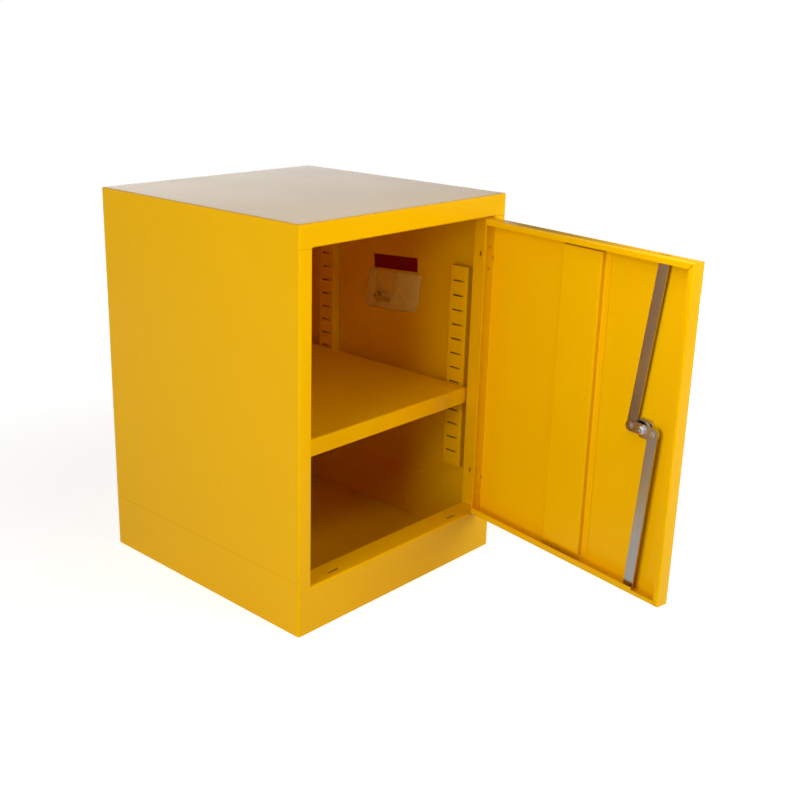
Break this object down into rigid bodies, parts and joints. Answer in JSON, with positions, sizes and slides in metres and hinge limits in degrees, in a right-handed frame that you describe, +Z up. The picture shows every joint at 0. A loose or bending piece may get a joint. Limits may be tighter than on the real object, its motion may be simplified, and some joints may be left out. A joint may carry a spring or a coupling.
{
  "type": "flammable liquid safety cabinet",
  "caption": "Yellow folded-steel safety cabinet with a sump base, an adjustable tray shelf and a hinged door whose key-locking knob drives two locking bars.",
  "frame": {"origin": "middle of the cabinet's base, on the floor", "axes": "+Z up; the door side faces -Y; +X to the right as seen from the front, where the hinges are"},
  "size_m": [0.45, 0.8444, 0.61],
  "materials": {
    "yellow_powder_coat": "gloss",
    "zinc_plate": "satin",
    "chrome_plate": "polished",
    "cast_knob": "satin",
    "clear_film": "gloss",
    "red_tape": "satin",
    "key_brass": "satin"
  },
  "bodies": {
    "cabinet": {"top_panel": "yellow_powder_coat", "sump_tray": "yellow_powder_coat", "back_panel": "yellow_powder_coat", "left_side_panel": "yellow_powder_coat", "right_side_panel": "yellow_powder_coat", "upright_front_left": "yellow_powder_coat", "shelf_clip_front_left": "zinc_plate", "upright_rear_left": "yellow_powder_coat", "shelf_clip_rear_left": "zinc_plate", "upright_front_right": "yellow_powder_coat", "shelf_clip_front_right": "zinc_plate", "upright_rear_right": "yellow_powder_coat", "shelf_clip_rear_right": "zinc_plate", "hinge_frame_leaf_upper": "yellow_powder_coat", "hinge_pin_upper": "zinc_plate", "hinge_frame_leaf_lower": "yellow_powder_coat", "hinge_pin_lower": "zinc_plate", "key_pouch": "clear_film", "pouch_tape": "red_tape", "key_ring": "zinc_plate", "key_one": "key_brass", "key_two": "key_brass"},
    "shelf_tray": {"shelf": "yellow_powder_coat"},
    "door": {"door_skin": "yellow_powder_coat", "door_stiffener": "yellow_powder_coat", "hinge_door_leaf_upper": "yellow_powder_coat", "hinge_door_leaf_lower": "yellow_powder_coat", "lock_rose": "chrome_plate", "lock_barrel": "chrome_plate", "barrel_nut": "chrome_plate"},
    "knob": {"wing_knob": "cast_knob", "cam_plate": "chrome_plate", "cam_washer": "chrome_plate", "cam_screw": "chrome_plate", "bar_pin_upper": "chrome_plate", "bar_pin_lower": "chrome_plate", "clip_ring_upper": "chrome_plate", "clip_ring_lower": "chrome_plate"},
    "key_cylinder": {"key_plug": "chrome_plate"},
    "upper_bar": {"locking_bar_upper": "zinc_plate"},
    "lower_bar": {"locking_bar_lower": "zinc_plate"}
  },
  "joints": [
    {"name": "shelf_lift", "type": "slide", "parent": "cabinet", "child": "shelf_tray", "axis": [0, 0, 1], "range_m": [0, 0.025]},
    {"name": "door_swing", "type": "hinge", "parent": "cabinet", "child": "door", "pos_m": [0.19835, -0.229, 0.325], "axis": [0, 0, 1], "range_deg": [-80.5, 99.5]},
    {"name": "knob_turn", "type": "hinge", "parent": "door", "child": "knob", "pos_m": [0.13955, -0.55613, 0.324], "axis": [0.9863, -0.165, 0], "range_deg": [0, 90]},
    {"name": "key_turn", "type": "hinge", "parent": "knob", "child": "key_cylinder", "pos_m": [0.16648, -0.56064, 0.324], "axis": [0.9863, -0.165, 0], "range_deg": [0, 90]},
    {"name": "upper_bar_pivot", "type": "hinge", "parent": "knob", "child": "upper_bar", "pos_m": [0.1431, -0.53493, 0.324], "axis": [0.9863, -0.165, 0], "range_deg": [-94.7, 0]},
    {"name": "lower_bar_pivot", "type": "hinge", "parent": "knob", "child": "lower_bar", "pos_m": [0.136, -0.57734, 0.324], "axis": [0.9863, -0.165, 0], "range_deg": [-95.03, 0]}
  ],
  "couplings": [
    {"joint": "upper_bar_pivot", "follows": "knob_turn", "ratio": -1.0517},
    {"joint": "lower_bar_pivot", "follows": "knob_turn", "ratio": -1.0553}
  ]
}
